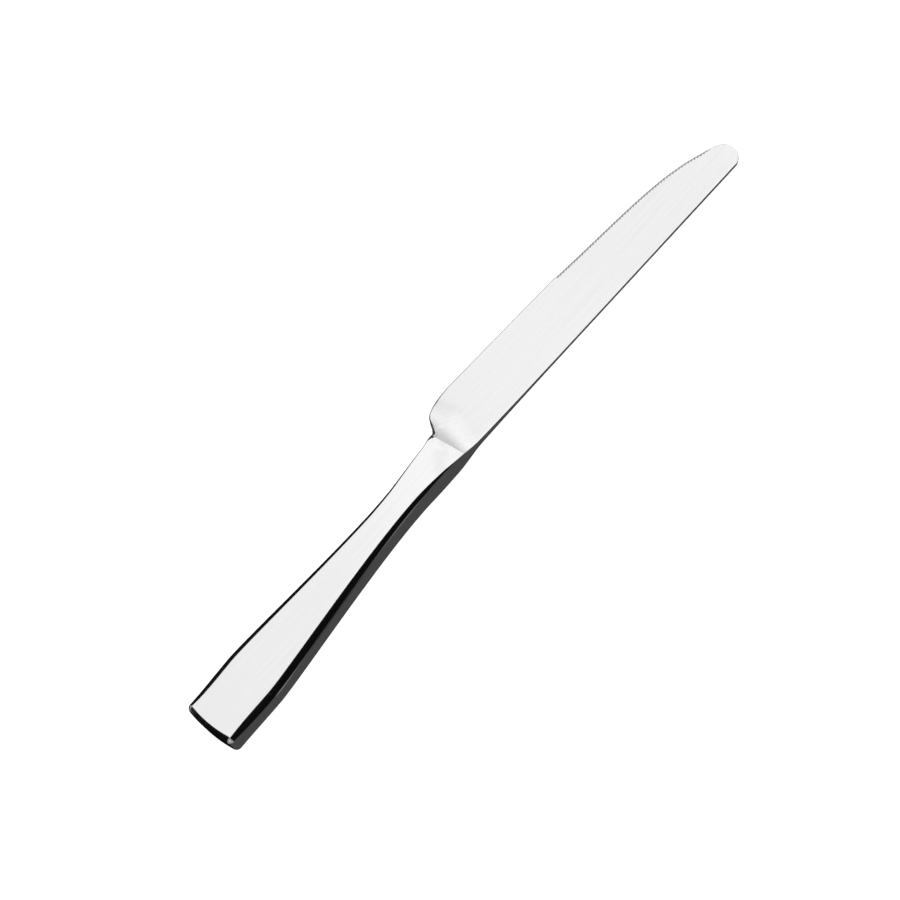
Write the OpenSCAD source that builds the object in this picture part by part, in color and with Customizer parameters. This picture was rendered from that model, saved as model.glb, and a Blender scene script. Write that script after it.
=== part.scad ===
// Dessert knife with a hollow steel handle, lying flat on its reverse face.
// Millimetres. X runs from the butt to the tip, the cutting edge faces +Y and Z is up.

/* [Blade] */
// Length of the blade from the handle joint to the tip
blade_length = 113; // [102:0.1:128]
// Width of the blade at the heel
heel_width = 18.85; // [16:0.1:22]
// Distance from the handle joint to the widest point of the heel
heel_length = 14.6; // [12:0.1:18]
// Width of the blade where the teeth begin
belly_width = 17.6; // [14:0.05:18.5]
// Forward reach of the straight start of the belly
belly_lead = 26.5; // [15:0.5:30]
// Backward reach of the curve that meets the tip
belly_trail = 14; // [10:0.5:20]
// Radius of the rounded tip
tip_radius = 4.6; // [3.5:0.1:5.5]
// How far the circle of the tip dips past the line of the spine
tip_sink = 0.15; // [0:0.05:0.5]
// Thickness of the spine under the bolster
heel_thick = 2.9; // [2:0.1:3.4]
// Thickness of the spine at the tip
tip_thick = 0.9; // [0.7:0.05:1.6]
// Share of that thickness which is left at the end of the rounded tip
tip_thinning = 0.5; // [0.4:0.05:1]
// Thickness of the plain cutting edge
edge_thick = 0.4; // [0.3:0.05:0.8]
// Chamfer along both corners of the spine
spine_chamfer = 0.15; // [0.05:0.05:0.3]

/* [Teeth] */
// Distance from the handle joint to the first tooth
teeth_start = 54.6; // [46:0.1:65]
// Distance from one tooth to the next
tooth_pitch = 1.0; // [0.9:0.05:2]
// Depth of each groove between teeth
tooth_depth = 0.12; // [0.06:0.02:0.3]
// Radius of each groove between teeth
tooth_radius = 0.6; // [0.4:0.05:1]
// Width of the ground bevel that carries the teeth
bevel_width = 0.6; // [0.5:0.05:1.4]
// Thickness left at the bottom of the bevel
bevel_edge = 0.12; // [0.08:0.02:0.25]

/* [Bolster] */
// Length of the hollow slope from the handle faces down to the blade, on the edge side
ramp_length = 12; // [9:0.1:16]
// Length of the same slope at the spine
ramp_spine = 6; // [5:0.1:12]
// Distance from the joint to the slope on the edge side
crease_edge = 0.3; // [0.2:0.05:1]
// Further distance from the joint to the slope at the spine
crease_lead = 2.1; // [0:0.1:3]
// Width of the handle and bolster at their joint
joint_width = 11; // [10.4:0.1:12]
// Rounding of the faces in the inside corner between the neck and the heel
nook_round = 1.4; // [0:0.1:1.6]
// Distance from the joint back to where that rounding begins
nook_back = 2; // [1:0.1:4]
// Distance from the joint to where that rounding ends on the heel
nook_front = 4.6; // [3:0.1:6]
// How far each face has fallen at the spine when it reaches the slope
spine_drop = 1.5; // [0.4:0.05:1.6]
// Length over which the handle faces fall towards the slope
drop_length = 14; // [8:0.5:16]
// Thickness of the braze between the bolster and the handle shells
joint_gap = 0.12; // [0.05:0.01:0.2]

/* [Handle] */
// Length of the handle from the joint to the butt
handle_length = 97; // [88:0.1:108]
// Thickness of the handle between its flat faces
handle_thick = 7.4; // [6.8:0.1:9]
// Width of the handle at its waist
waist_width = 9; // [8:0.05:10]
// Distance from the joint back to the waist
waist_back = 17.4; // [14:0.1:22]
// How far the waist stands out past the line of the blade's spine
waist_offset = 0.3; // [0:0.05:0.6]
// Width of the straight neck where it runs out at the joint
neck_width = 10.3; // [9.5:0.1:10.6]
// Length of the widening behind the waist
flare_length = 62; // [55:0.5:68]
// Reach of the slow start of the widening
flare_lead = 19; // [10:0.5:26]
// Reach of the slow end of the widening
flare_trail = 8; // [6:0.5:25]
// Width of the handle near the butt
butt_width = 18.5; // [16:0.1:22]
// How far each side draws in before the corner of the butt
butt_ease = 0.55; // [0:0.05:0.8]
// Rise of the rounded butt end
butt_bulge = 1; // [0.4:0.1:2]
// Angle between the handle and the spine of the blade
handle_rake = 2.6; // [0:0.1:5]
// Length of the flare that meets the heel
neck_flare = 4.4; // [3:0.1:7]
// Shoulder radius at the neck on the spine side
shoulder_neck = 0.7; // [0.3:0.05:1]
// Share of that radius which is left at the joint
shoulder_fade = 0.3; // [0.2:0.05:1]
// Shoulder radius at the neck on the edge side
shoulder_edge = 0.3; // [0.2:0.05:1]
// Shoulder radius along the sides at the butt
shoulder_butt = 2.2; // [1.2:0.05:2.5]
// Shoulder radius across the butt end
shoulder_end = 1.3; // [0.8:0.05:2]
// Corner radius of the flat face at the butt
face_corner = 0.35; // [0.2:0.05:2]

/* [Shells] */
// Sheet thickness of the two handle shells
wall = 0.9; // [0.7:0.05:1.1]
// Thickness of the braze between the two shells
seam_gap = 0.16; // [0.08:0.02:0.3]

/* [Tang] */
// Length of the plug that locates the shells on the bolster
plug_length = 6; // [4:0.5:10]
// Length of the tang behind the joint
tang_length = 46; // [35:1:58]
// Width of the tang where it leaves the plug
tang_root = 4.8; // [3.5:0.1:5.5]
// Width of the tang at its end
tang_end = 3.2; // [2:0.1:4]
// Thickness of the tang
tang_thick = 2.4; // [1.5:0.1:3]
// Radius of the grip notches in the sides of the tang
notch_radius = 0.8; // [0.5:0.05:1]
// Number of grip notches on each side of the tang
notch_count = 4; // [2:1:6]
// Distance between grip notches
notch_pitch = 7; // [5:0.5:8]
// Length from the joint to the rear of the cement
cement_length = 60; // [60:1:72]
// Clearance round the plug and the cement
fit_clearance = 0.05; // [0.02:0.01:0.15]

/* [Hidden] */
half = handle_thick / 2;
waist_half = waist_width / 2;
butt_half = butt_width / 2;
// Waist of the handle on its centre line, and the directions along and across that line
waist_mid = [-waist_back, waist_half - waist_offset];
back_way = [-cos(handle_rake), -sin(handle_rake)];
edge_way = [-sin(handle_rake), cos(handle_rake)];
axis_length = (handle_length - waist_back) / cos(handle_rake);
end_radius = (butt_half * butt_half + butt_bulge * butt_bulge) / (2 * butt_bulge);
corner_radius = shoulder_end + face_corner;
ease_angle = atan(2 * butt_ease / (axis_length - flare_length - corner_radius));
corner_out = butt_half - butt_ease - corner_radius * cos(ease_angle);
corner_along = axis_length - end_radius + sqrt(pow(end_radius - corner_radius, 2) - pow(corner_out, 2));
corner_angle = atan2(corner_out, corner_along - (axis_length - end_radius));
edge_slope = (belly_width - heel_width) / (teeth_start - heel_length);
tip_mid = [blade_length - tip_radius, tip_radius - tip_sink];
// Direction from the middle of the tip to where the belly meets it
tip_meet = 62;
taper_power = 7;
taper_slope = 0.09;
flare_steps = 8;
neck_steps = 4;
side_steps = 18;
ease_steps = 4;
corner_steps = 5;
end_steps = 4;
shoulder_steps = 6;
across_steps = 8;

function mix(a, b, t) = a + (b - a) * t;
function bezier(p, t) =
    pow(1 - t, 3) * p[0] + 3 * pow(1 - t, 2) * t * p[1] + 3 * (1 - t) * t * t * p[2] + pow(t, 3) * p[3];
function quad(a, b, c, d) = [[a, b, c], [a, c, d]];
function flat(lists) = [for (l = lists) each l];
function turned(list) = [for (i = [len(list) - 1 : -1 : 0]) list[i]];

// Plan outline of the blade, as stations of distance and edge width
heel_curve = [
    [0, joint_width],
    [heel_length * 0.25, mix(joint_width, heel_width, 0.24)],
    [heel_length * 0.1, heel_width - edge_slope * heel_length * 0.9],
    [heel_length, heel_width]];
belly_end = tip_mid + tip_radius * [cos(tip_meet), sin(tip_meet)];
belly_curve = [
    [teeth_start, belly_width],
    [teeth_start + belly_lead, belly_width - taper_slope * belly_lead],
    belly_end + belly_trail * [-1, cos(tip_meet) / sin(tip_meet)],
    belly_end];
heel_shares = concat([0, crease_edge / (heel_length * 0.75)], [for (i = [1 : 14]) i / 14]);
heel_points = [for (t = heel_shares) bezier(heel_curve, t)];
plain_points = [for (i = [1 : 6]) mix([heel_length, heel_width], [teeth_start, belly_width], i / 6)];
ground_points = [for (t = concat([0.008], [for (i = [1 : 28]) i / 28])) bezier(belly_curve, t)];
tip_points = [for (i = [1 : 7]) tip_mid + tip_radius * [cos(tip_meet - i * 7.5), sin(tip_meet - i * 7.5)]];
plain_stations = concat(heel_points, plain_points);
ground_stations = concat(ground_points, tip_points);
function spine_at(x) =
    x < tip_mid[0] ? 0 : max(0, tip_mid[1] - sqrt(max(0, pow(tip_radius, 2) - pow(x - tip_mid[0], 2))));

// Half thickness of the blade: a tapered wedge plus the hollow slope of the bolster
function thinning_at(x) = mix(1, tip_thinning, max(0, min(1, (x - tip_mid[0]) / tip_radius)));
function spine_half(x) =
    mix(tip_thick, heel_thick, pow(1 - x / blade_length, taper_power)) / 2 * thinning_at(x);
function wedge_half(x, y, edge) = mix(spine_half(x), edge_thick / 2, y / edge);
function drop_at(x) = spine_drop * pow(max(0, min(1, 1 + (x - crease_edge - crease_lead) / drop_length)), 2);
function joint_half(x, y) = half - drop_at(x) * (1 - min(1, y / joint_width));
function crease_at(y) = crease_edge + crease_lead * (1 - y / joint_width);
function ramp_at(y) = mix(ramp_spine, ramp_length, min(1, y / joint_width));
function slope_share(x, y) = pow(max(0, 1 - max(0, x - crease_at(y)) / ramp_at(y)), 2);
function face_half(x, y, edge) = mix(wedge_half(x, y, edge), joint_half(x, y), slope_share(x, y));
function nook_at(x) =
    let (t = (x + nook_back) / (nook_back + nook_front))
    t > 0 && t < 1 ? nook_round * pow(sin(180 * t), 2) : 0;

// Forward lean of a cross section, so that one lies along the crease where the slope begins
function slant(x, y, edge) = x > 0 ? (crease_at(y) - crease_at(edge)) * max(0, 1 - x / heel_length) : 0;

// One cross section of the blade, from the edge over the obverse face and back
function blade_section(station, ground) =
    let (
        x = station[0],
        edge = station[1],
        spine = spine_at(x),
        chamfer = min(spine_chamfer, (edge - spine) / 8, face_half(x, spine, edge) / 2),
        bevel = min(bevel_width, (edge - spine) / 3),
        ys = [for (i = [0 : across_steps]) mix(edge - bevel, spine + chamfer, i / across_steps)],
        xs = [for (y = ys) x + slant(x, y, edge)],
        spine_x = x + slant(x, spine, edge),
        rim = face_half(spine_x, spine, edge) - chamfer,
        low = face_half(x, edge, edge) - min(nook_at(x) * 0.6, face_half(x, edge, edge) * 0.6),
        top = ground ? bevel_edge - low : low,
        face = [for (i = [0 : across_steps]) [xs[i], ys[i], face_half(xs[i], ys[i], edge)]])
    concat(
        [[x, edge, -low], [x, edge, top]],
        face,
        [[spine_x, spine, rim], [spine_x, spine, -rim]],
        [for (p = turned(face)) [p[0], p[1], -p[2]]]);
blade_sections = concat(
    [for (s = plain_stations) blade_section(s, false)],
    [for (s = ground_points) blade_section(s, true)],
    [for (s = tip_points) blade_section(s, false)],
    [[for (p = blade_section([blade_length - 0.05, tip_mid[1] + 0.6], false)) [blade_length, p[1], p[2]]]]);

// Places of the teeth, evenly spaced along the belly
belly_fine = [for (i = [0 : 120]) bezier(belly_curve, i / 120)];
function run_to(i) = i == 0 ? 0 : run_to(i - 1) + norm(belly_fine[i] - belly_fine[i - 1]);
belly_runs = [for (i = [0 : 120]) [run_to(i), i / 120]];
belly_run = belly_runs[120][0];
tooth_total = floor((belly_run - tooth_pitch) / tooth_pitch);

// Plan outline of the handle: edge side and spine side, from the joint to the butt
function neck_edge_at(x) = mix(neck_width, waist_width - waist_offset, -x / waist_back);
flare_curve = [
    [-joint_gap, joint_width],
    [-neck_flare * 0.27, mix(joint_width, neck_edge_at(-neck_flare * 0.27), 0.6)],
    [-neck_flare * 0.55, neck_edge_at(-neck_flare * 0.55)],
    [-neck_flare, neck_edge_at(-neck_flare)]];
flare_points = [for (i = [0 : flare_steps]) bezier(flare_curve, i / flare_steps)];
neck_points = [
    for (i = [1 : neck_steps])
        let (x = mix(-neck_flare, -waist_back, i / (neck_steps + 1))) [x, neck_edge_at(x)]];
front_edge = concat(flare_points, neck_points);
function neck_spine(x) =
    bezier([0, 0, waist_back / 3 * tan(handle_rake) - waist_offset, -waist_offset], -x / waist_back);
front_spine = [for (p = front_edge) [p[0], neck_spine(p[0])]];
side_curve = [
    [0, waist_half], [flare_lead, waist_half], [flare_length - flare_trail, butt_half], [flare_length, butt_half]];
side_places = [for (i = [0 : side_steps]) bezier(side_curve, i / side_steps)];
ease_end = corner_along + corner_radius * sin(ease_angle);
ease_places = [
    for (i = [1 : ease_steps])
        let (t = i / (ease_steps + 1))
        [mix(flare_length, ease_end, t), butt_half - butt_ease * t * t]];
corner_places = [
    for (i = [0 : corner_steps])
        let (a = mix(90 - ease_angle, corner_angle, i / corner_steps))
        [corner_along, corner_out] + corner_radius * [cos(a), sin(a)]];
end_places = [
    for (i = [1 : end_steps])
        let (a = mix(corner_angle, 0, i / end_steps))
        [axis_length - end_radius, 0] + end_radius * [cos(a), sin(a)]];
rear_places = concat(side_places, ease_places, corner_places, end_places);
function rear_point(p, side) = waist_mid + p[0] * back_way + side * p[1] * edge_way;
edge_side = concat(front_edge, [for (p = rear_places) rear_point(p, 1)]);
spine_side = concat(front_spine, [for (i = [0 : len(rear_places) - 2]) rear_point(rear_places[i], -1)]);
outline = concat(edge_side, turned(spine_side));
total = len(outline);
middle = len(edge_side) - 1;
front_count = len(front_edge);

// Inward direction at each outline point; square to X near the joint so that the rim stays flat
function along(i) = outline[min(total - 1, i + 1)] - outline[max(0, i - 1)];
function is_front(i) = i < front_count || i >= total - front_count;
function inward(i) =
    let (d = along(i), side = i <= middle ? -1 : 1)
    is_front(i) ? [0, side * sqrt(1 + pow(d[1] / d[0], 2))] : [-d[1], d[0]] / norm(d);
function moved(i, d) = outline[i] + d * inward(i);

// Height of the face and radius of the shoulder at each outline point
function face_at(i) =
    i > middle ? half - drop_at(outline[i][0]) : half;
function end_share(i) =
    let (k = min(i, total - 1 - i), n = front_count + side_steps)
    pow(max(0, min(1, (k - n) / (ease_steps + 1))), 2);
function side_shoulder(i) =
    let (x = outline[i][0], back = min(1, -x / handle_length), fade = min(1, -x / drop_length))
    i > middle
        ? mix(shoulder_neck, shoulder_butt, back) * mix(shoulder_fade, 1, fade)
        : mix(shoulder_edge, shoulder_butt, back) + nook_at(x);
function shoulder_at(i) = mix(side_shoulder(i), shoulder_end, end_share(i));

// Profile of the shell at one outline point, from the seam up and over the shoulder
function profile(i, depth, radius) =
    let (top = face_at(i) - depth)
    concat(
        [concat(moved(i, depth), seam_gap / 2)],
        [for (k = [0 : shoulder_steps])
            let (a = 90 * k / shoulder_steps)
            concat(moved(i, depth + radius * (1 - cos(a))), top - radius * (1 - sin(a)))]);
function outer_profile(i) = profile(i, 0, shoulder_at(i));
function inner_profile(i) = profile(i, wall, max(0.15, shoulder_at(i) - wall));

profile_size = shoulder_steps + 2;
inner_start = total * profile_size;
function outer_id(i, j) = i * profile_size + j;
function inner_id(i, j) = inner_start + i * profile_size + j;
function across(i) = total - 1 - i;
shell_points = concat(
    flat([for (i = [0 : total - 1]) outer_profile(i)]),
    flat([for (i = [0 : total - 1]) inner_profile(i)]));
last = profile_size - 1;
shell_faces = concat(
    flat([for (i = [0 : total - 2], j = [0 : last - 1])
        quad(outer_id(i, j), outer_id(i, j + 1), outer_id(i + 1, j + 1), outer_id(i + 1, j))]),
    flat([for (i = [0 : total - 2], j = [0 : last - 1])
        quad(inner_id(i, j), inner_id(i + 1, j), inner_id(i + 1, j + 1), inner_id(i, j + 1))]),
    flat([for (i = [0 : middle - 2])
        quad(outer_id(i, last), outer_id(across(i), last), outer_id(across(i + 1), last), outer_id(i + 1, last))]),
    [[outer_id(middle - 1, last), outer_id(middle + 1, last), outer_id(middle, last)]],
    flat([for (i = [0 : middle - 2])
        quad(inner_id(i, last), inner_id(i + 1, last), inner_id(across(i + 1), last), inner_id(across(i), last))]),
    [[inner_id(middle - 1, last), inner_id(middle, last), inner_id(middle + 1, last)]],
    flat([for (i = [0 : total - 2])
        quad(outer_id(i, 0), outer_id(i + 1, 0), inner_id(i + 1, 0), inner_id(i, 0))]),
    flat([for (j = [0 : last - 1]) quad(inner_id(0, j), inner_id(0, j + 1), outer_id(0, j + 1), outer_id(0, j))]),
    flat([for (j = [0 : last - 1])
        quad(
            outer_id(total - 1, j), outer_id(total - 1, j + 1),
            inner_id(total - 1, j + 1), inner_id(total - 1, j))]),
    quad(outer_id(total - 1, last), outer_id(0, last), inner_id(0, last), inner_id(total - 1, last)));

// Hollow of the handle, kept clear of the shells
function hollow_section(i) =
    let (
        k = across(i),
        d = wall + fit_clearance,
        edge_top = face_at(i) - d,
        spine_top = face_at(k) - d,
        edge_cut = max(0.15, shoulder_at(i) - wall),
        spine_cut = max(0.15, shoulder_at(k) - wall),
        e0 = moved(i, d),
        e1 = moved(i, d + edge_cut),
        s0 = moved(k, d),
        s1 = moved(k, d + spine_cut))
    [
        concat(e0, edge_cut - edge_top), concat(e0, edge_top - edge_cut),
        concat(e1, edge_top), concat(s1, spine_top),
        concat(s0, spine_top - spine_cut), concat(s0, spine_cut - spine_top),
        concat(s1, -spine_top), concat(e1, -edge_top)];
hollow_sections = [for (i = [middle - end_steps - corner_steps - 1 : -1 : 0]) hollow_section(i)];

// Middle of the whole knife in plan
edge_reach = max(concat([for (s = concat(plain_stations, ground_stations)) s[1]], [for (p = outline) p[1]]));
spine_reach = min(concat([0], [for (p = outline) p[1]]));
middle_shift = [(handle_length - blade_length) / 2, -(edge_reach + spine_reach) / 2, half];
plug_edge = neck_edge_at(-plug_length) - wall - fit_clearance;
plug_spine = max(0, neck_spine(-plug_length)) + wall + fit_clearance;
plug_half = half - drop_at(0) - wall - fit_clearance;

module loft(sections) {
    n = len(sections[0]);
    m = len(sections);
    sides = flat([for (i = [0 : m - 2], j = [0 : n - 1])
        let (k = (j + 1) % n) quad(i * n + j, (i + 1) * n + j, (i + 1) * n + k, i * n + k)]);
    start = (m - 1) * n;
    rungs = [0 : n / 2 - 2];
    rear_cap = flat([for (j = rungs) quad((n - j) % n, 1 + j, 2 + j, n - 1 - j)]);
    front_cap = flat([for (j = rungs)
        quad(start + (n - j) % n, start + n - 1 - j, start + 2 + j, start + 1 + j)]);
    polyhedron(flat(sections), concat(sides, rear_cap, front_cap), convexity = 6);
}

module tooth_groove(k) {
    t = lookup(tooth_pitch * (k + 1), belly_runs);
    p = bezier(belly_curve, t);
    d = bezier(belly_curve, t + 0.004) - bezier(belly_curve, t - 0.004);
    rise = wedge_half(p[0], p[1] - bevel_width, p[1]) + edge_thick / 2 - bevel_edge;
    tilt = atan2(rise, bevel_width);
    translate([p[0], p[1], bevel_edge - edge_thick / 2])
        rotate([0, 0, atan2(d[1], d[0])])
            rotate([-tilt, 0, 0])
                translate([0, 1, tooth_radius - tooth_depth])
                    rotate([90, 0, 0])
                        cylinder(r = tooth_radius, h = bevel_width + 3, $fn = 48);
}

module tang(extra) {
    from = waist_back - plug_length + 1;
    to = -(tang_length - waist_back) - extra;
    translate(waist_mid)
        rotate(handle_rake)
            linear_extrude(tang_thick + 2 * extra, center = true)
                difference() {
                    polygon([
                        [from, -tang_root / 2 - extra], [from, tang_root / 2 + extra],
                        [to, tang_end / 2 + extra], [to, -tang_end / 2 - extra]]);
                    for (i = [1 : notch_count], s = [-1, 1]) {
                        x = to + extra + i * notch_pitch - 2;
                        w = mix(tang_end, tang_root, (x - to) / (from - to)) / 2;
                        translate([x, s * (w + extra + notch_radius * 0.4)])
                            circle(r = notch_radius, $fn = 48);
                    }
                }
}

module blade() {
    color("silver")
        translate(middle_shift) {
            difference() {
                loft(blade_sections);
                for (k = [0 : tooth_total - 1])
                    tooth_groove(k);
            }
            translate([-plug_length, plug_spine, -plug_half])
                cube([plug_length + 1, plug_edge - plug_spine, 2 * plug_half]);
            tang(0);
        }
}

module shell() {
    intersection() {
        polyhedron(shell_points, shell_faces, convexity = 8);
        translate([-handle_length - 1, spine_reach - 1, 0])
            cube([handle_length + 1, edge_reach - spine_reach + 2, handle_thick]);
    }
}

module handle_obverse_shell() {
    color("gainsboro")
        translate(middle_shift)
            shell();
}

module handle_reverse_shell() {
    color("gainsboro")
        translate(middle_shift)
            mirror([0, 0, 1])
                shell();
}

module seam_braze() {
    color("darkgray")
        translate(middle_shift)
            linear_extrude(seam_gap, center = true)
                polygon(concat(outline, turned([for (i = [0 : total - 1]) moved(i, wall)])));
}

module bolster_braze() {
    rim = concat(outer_profile(0), turned(outer_profile(total - 1)));
    upper = [for (p = rim) [p[1], p[2]]];
    lower = [for (p = turned(rim)) [p[1], -p[2]]];
    gap = fit_clearance;
    color("darkgray")
        translate(middle_shift + [-joint_gap, 0, 0])
            rotate([90, 0, 90])
                linear_extrude(joint_gap)
                    difference() {
                        polygon(concat(upper, lower));
                        translate([plug_spine - gap, -plug_half - gap])
                            square([plug_edge - plug_spine + 2 * gap, 2 * (plug_half + gap)]);
                    }
}

module tang_cement() {
    color("dimgray")
        translate(middle_shift)
            difference() {
                intersection() {
                    loft(hollow_sections);
                    translate([-cement_length, spine_reach, -half])
                        cube([cement_length - plug_length - fit_clearance, edge_reach - spine_reach, handle_thick]);
                }
                tang(0);
            }
}

blade();
handle_obverse_shell();
handle_reverse_shell();
seam_braze();
bolster_braze();
tang_cement();
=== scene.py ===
"""Looks of a dessert knife: a toothed steel blade in a hollow, flat-faced steel handle."""

import bisect
import logging
import math
from dataclasses import dataclass
from enum import Enum
from typing import Any, Callable, Sequence

import bmesh
import bpy
from bmesh.types import BMesh
from bpy.types import Material, Node, NodeSocket, NodeTree, Object, World
from mathutils import Matrix, Vector


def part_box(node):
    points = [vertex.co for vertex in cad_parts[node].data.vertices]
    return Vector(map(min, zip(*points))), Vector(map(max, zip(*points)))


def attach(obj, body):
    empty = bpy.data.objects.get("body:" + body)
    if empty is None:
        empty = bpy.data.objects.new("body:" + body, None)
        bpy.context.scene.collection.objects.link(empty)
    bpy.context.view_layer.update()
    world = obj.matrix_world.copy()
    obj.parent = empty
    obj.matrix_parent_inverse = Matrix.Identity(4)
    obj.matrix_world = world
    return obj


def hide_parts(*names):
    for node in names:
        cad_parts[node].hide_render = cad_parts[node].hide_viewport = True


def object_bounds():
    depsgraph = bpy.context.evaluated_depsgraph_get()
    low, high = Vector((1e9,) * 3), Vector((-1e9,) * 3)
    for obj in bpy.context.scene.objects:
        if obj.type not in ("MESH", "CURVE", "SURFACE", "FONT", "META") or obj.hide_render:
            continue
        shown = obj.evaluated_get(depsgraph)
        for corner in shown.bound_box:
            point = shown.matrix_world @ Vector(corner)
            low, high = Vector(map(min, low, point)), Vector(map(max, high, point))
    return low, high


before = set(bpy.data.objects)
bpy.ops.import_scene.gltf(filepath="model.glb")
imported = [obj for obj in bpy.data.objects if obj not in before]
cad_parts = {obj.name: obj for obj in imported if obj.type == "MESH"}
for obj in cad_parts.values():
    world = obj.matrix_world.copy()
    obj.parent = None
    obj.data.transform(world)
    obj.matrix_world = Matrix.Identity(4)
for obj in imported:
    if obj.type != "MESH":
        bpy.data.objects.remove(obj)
CAD_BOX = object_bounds()

MM = 0.001
MERGE_DISTANCE = 0.001 * MM
# Least distance between two stations in millimetres
LEAST_STEP = 1e-6
LOG = logging.getLogger("dessert_knife")

Section = list[Vector]
Settings = dict[str | int, Any]


class Side(Enum):
    """Which half of the handle a shell is, as the sign of its height."""

    OBVERSE = 1
    REVERSE = -1


class Zone(Enum):
    """Material slots of the blade: its faces, the ground bevel with its teeth, and the bolster's end."""

    FACE = 0
    GROUND = 1
    BOLSTER = 2


def mix(a: float, b: float, share: float) -> float:
    """Returns the value that lies share of the way from a to b."""
    return a + (b - a) * share


def clamp(value: float, low: float = 0.0, high: float = 1.0) -> float:
    """Returns value held between low and high."""
    return max(low, min(high, value))


def bezier(points: Sequence[Vector], t: float) -> Vector:
    """Point on a cubic curve.

    Args:
        points: The four control points.
        t: Place on the curve, from 0 to 1.

    Returns:
        The point at t.
    """
    s = 1.0 - t
    return points[0] * s**3 + points[1] * (3 * s * s * t) + points[2] * (3 * s * t * t) + points[3] * t**3


def linear_colour(hex_code: str) -> tuple[float, float, float, float]:
    """Turns an sRGB hex colour to linear light.

    Args:
        hex_code: Six hex digits after a hash sign.

    Returns:
        Linear red, green, blue and an alpha of 1.
    """
    parts = [int(hex_code[i:i + 2], 16) / 255 for i in (1, 3, 5)]
    red, green, blue = (c / 12.92 if c <= 0.04045 else ((c + 0.055) / 1.055) ** 2.4 for c in parts)
    return red, green, blue, 1.0


def add_node(tree: NodeTree, kind: str, settings: Settings, inputs: Settings) -> Node:
    """Adds one node to a tree.

    Args:
        tree: The tree that gets the node.
        kind: Blender's name for the node.
        settings: The node's own properties.
        inputs: A value, or the socket to link, for each input by name or number.

    Returns:
        The new node.
    """
    node = tree.nodes.new(kind)
    for name, value in settings.items():
        setattr(node, name, value)
    for name, value in inputs.items():
        if isinstance(value, NodeSocket):
            tree.links.new(value, node.inputs[name])
        else:
            node.inputs[name].default_value = value
    return node


def new_material(name: str) -> tuple[Material, NodeTree, Node]:
    """Starts a material.

    Args:
        name: The real material and how its surface was made.

    Returns:
        The material, its tree and its shader.
    """
    material = bpy.data.materials.new(name)
    material.use_nodes = True
    tree = material.node_tree
    return material, tree, tree.nodes["Principled BSDF"]


def colour_by(tree: NodeTree, pattern: NodeSocket, values: Sequence[float], tones: Sequence[str]) -> None:
    """Colours a surface by a pattern.

    Args:
        tree: The material's tree.
        pattern: The pattern's socket.
        values: Values of the pattern where the two tones are reached.
        tones: The darker and the lighter tone as hex colours.
    """
    ramp = add_node(tree, "ShaderNodeValToRGB", {}, {"Fac": pattern})
    for stop, value, tone in zip(ramp.color_ramp.elements, values, tones):
        stop.position = value
        stop.color = linear_colour(tone)
    tree.links.new(ramp.outputs["Color"], tree.nodes["Principled BSDF"].inputs["Base Color"])


@dataclass(frozen=True)
class SteelFinish:
    """Stainless steel with polishing lines, faint ripples and a slightly uneven gloss."""

    name: str
    tint: str
    shade: str
    roughness: float
    gloss_spread: float
    # Sizes in millimetres
    line_spacing: float
    line_length: float
    line_depth: float
    ripple_size: float
    ripple_depth: float
    # Turn of the lines about the vertical, in degrees from the length of the knife
    line_turn: float = 0.0
    metallic: float = 1.0
    # Octaves of the noise in the lines and the ripples, and the strength of the finer ones in the lines
    line_octaves: float = 3.0
    line_crumble: float = 0.6
    ripple_octaves: float = 1.0
    # Values of the lines between which the gloss and the tone change
    gloss_range: tuple[float, float] = (0.3, 0.7)
    tone_range: tuple[float, float] = (0.32, 0.62)

    def make(self) -> Material:
        """Makes the material.

        Returns:
            A metal whose gloss, tone and bump follow the lines left by the polishing wheel.
        """
        material, tree, shader = new_material(self.name)
        shader.inputs["Metallic"].default_value = self.metallic
        place = add_node(tree, "ShaderNodeTexCoord", {}, {}).outputs["Object"]
        fine, long = 1 / (self.line_spacing * MM), 1 / (self.line_length * MM)
        turned = add_node(tree, "ShaderNodeMapping", {}, {
            "Vector": place, "Rotation": (0.0, 0.0, math.radians(self.line_turn))})
        stretched = add_node(tree, "ShaderNodeMapping", {}, {
            "Vector": turned.outputs["Vector"], "Scale": (long, fine, fine)})
        lines = add_node(tree, "ShaderNodeTexNoise", {}, {
            "Vector": stretched.outputs["Vector"], "Scale": 1.0, "Detail": self.line_octaves,
            "Roughness": self.line_crumble}).outputs["Fac"]
        ripple = add_node(tree, "ShaderNodeTexNoise", {}, {
            "Vector": place, "Scale": 1 / (self.ripple_size * MM), "Detail": self.ripple_octaves})
        gloss = add_node(tree, "ShaderNodeMapRange", {}, {
            "Value": lines, "From Min": self.gloss_range[0], "From Max": self.gloss_range[1],
            "To Min": self.roughness - self.gloss_spread, "To Max": self.roughness + self.gloss_spread})
        tree.links.new(gloss.outputs["Result"], shader.inputs["Roughness"])
        colour_by(tree, lines, self.tone_range, (self.shade, self.tint))
        waves = add_node(tree, "ShaderNodeBump", {}, {
            "Height": ripple.outputs["Fac"], "Strength": 1.0, "Distance": self.ripple_depth * MM})
        scratch = add_node(tree, "ShaderNodeBump", {}, {
            "Height": lines, "Strength": 1.0, "Distance": self.line_depth * MM,
            "Normal": waves.outputs["Normal"]})
        tree.links.new(scratch.outputs["Normal"], shader.inputs["Normal"])
        return material


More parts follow.
